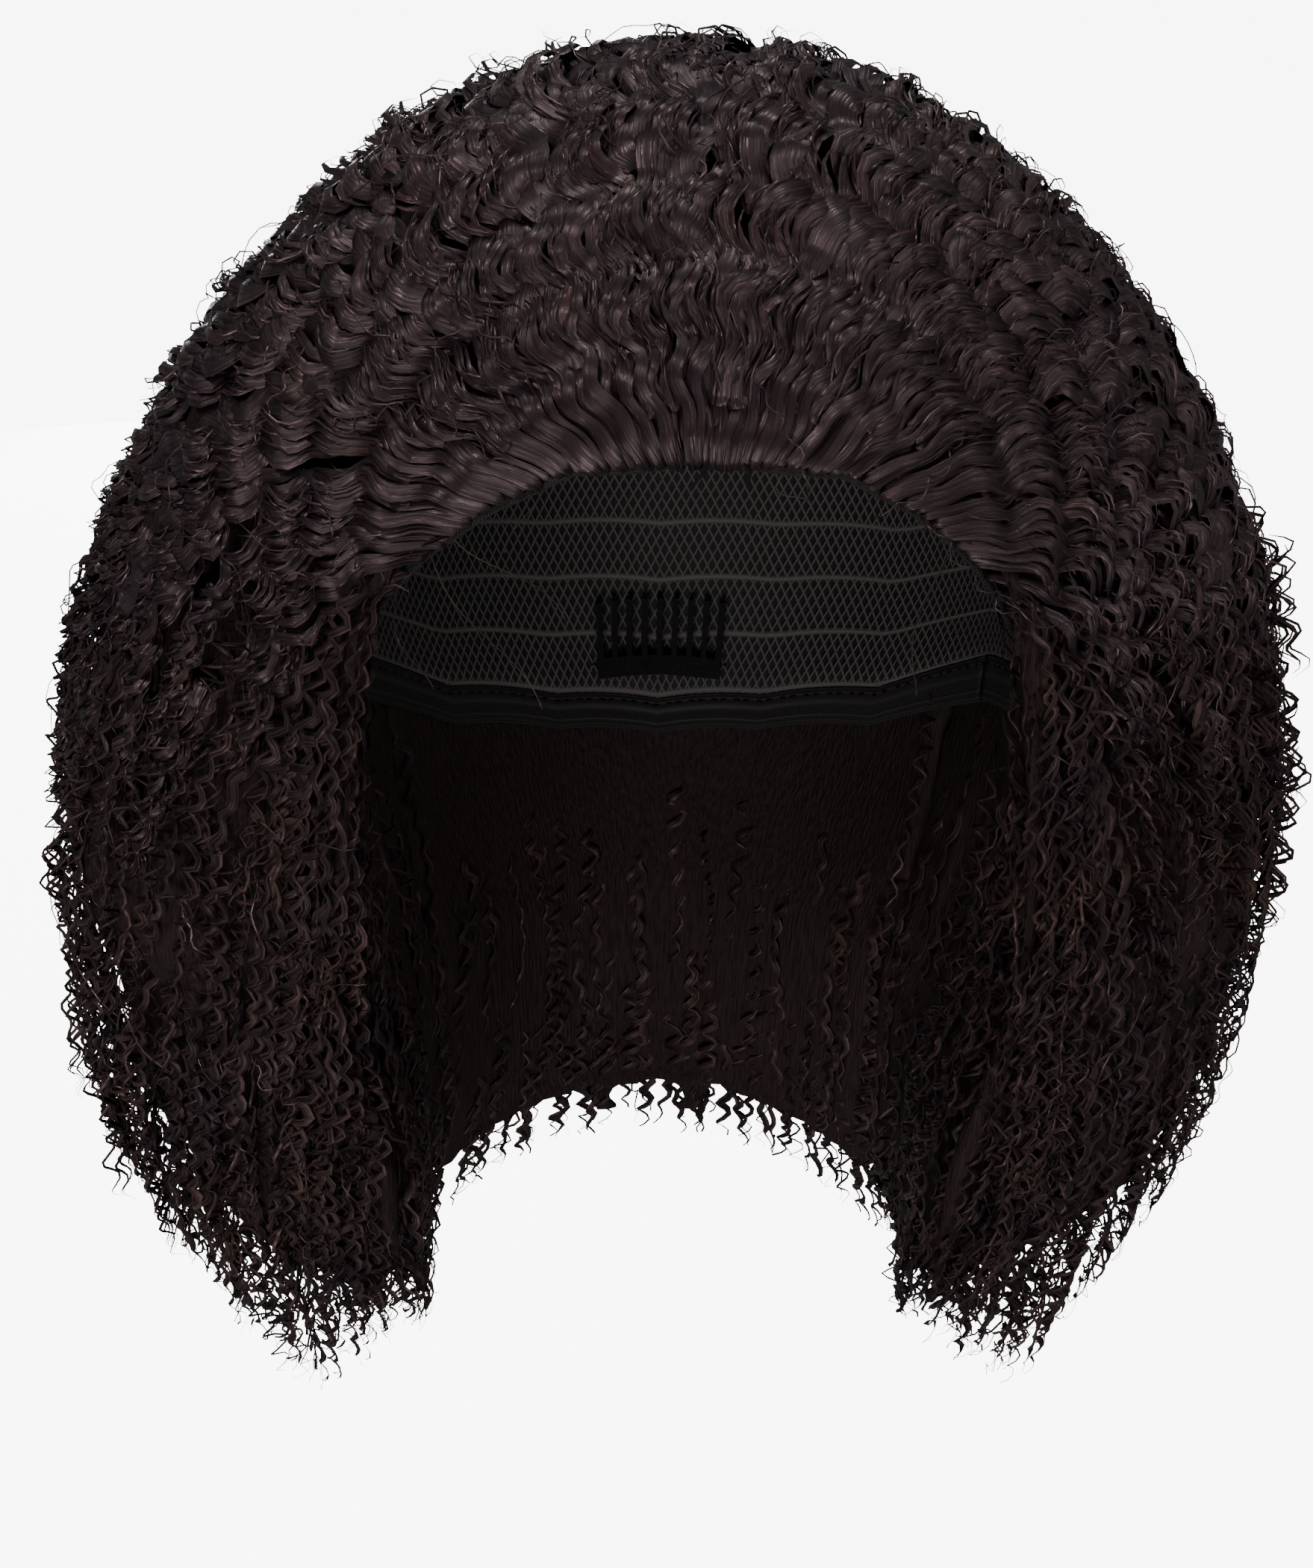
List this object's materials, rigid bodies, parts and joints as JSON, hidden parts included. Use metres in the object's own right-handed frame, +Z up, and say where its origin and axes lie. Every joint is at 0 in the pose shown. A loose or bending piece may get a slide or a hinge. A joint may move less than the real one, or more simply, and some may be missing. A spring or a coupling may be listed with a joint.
{
  "type": "half wig",
  "caption": "Rounded shoulder-length wig of tightly waved dark hair on a stretch net cap, open at the face and neck, with a bound edge band and sewn-in combs.",
  "frame": {"origin": "the seat: the point inside the crown of the cap that rests on the top of the head", "axes": "+Z up as worn, -Y towards the face, +X towards the wearer's left"},
  "size_m": [0.306, 0.1992, 0.3648],
  "materials": {
    "net": "black stretch net",
    "band": "black woven elastic tape",
    "comb": "black moulded plastic",
    "hair": "off-black waved synthetic hair with a soft sheen"
  },
  "bodies": {
    "root": {"net_cap": "net", "front_band": "band", "nape_band": "band", "front_comb": "comb", "nape_comb": "comb", "front_hair": "hair", "crown_hair": "hair", "right_hair": "hair", "left_hair": "hair", "back_hair": "hair"}
  },
  "joints": []
}
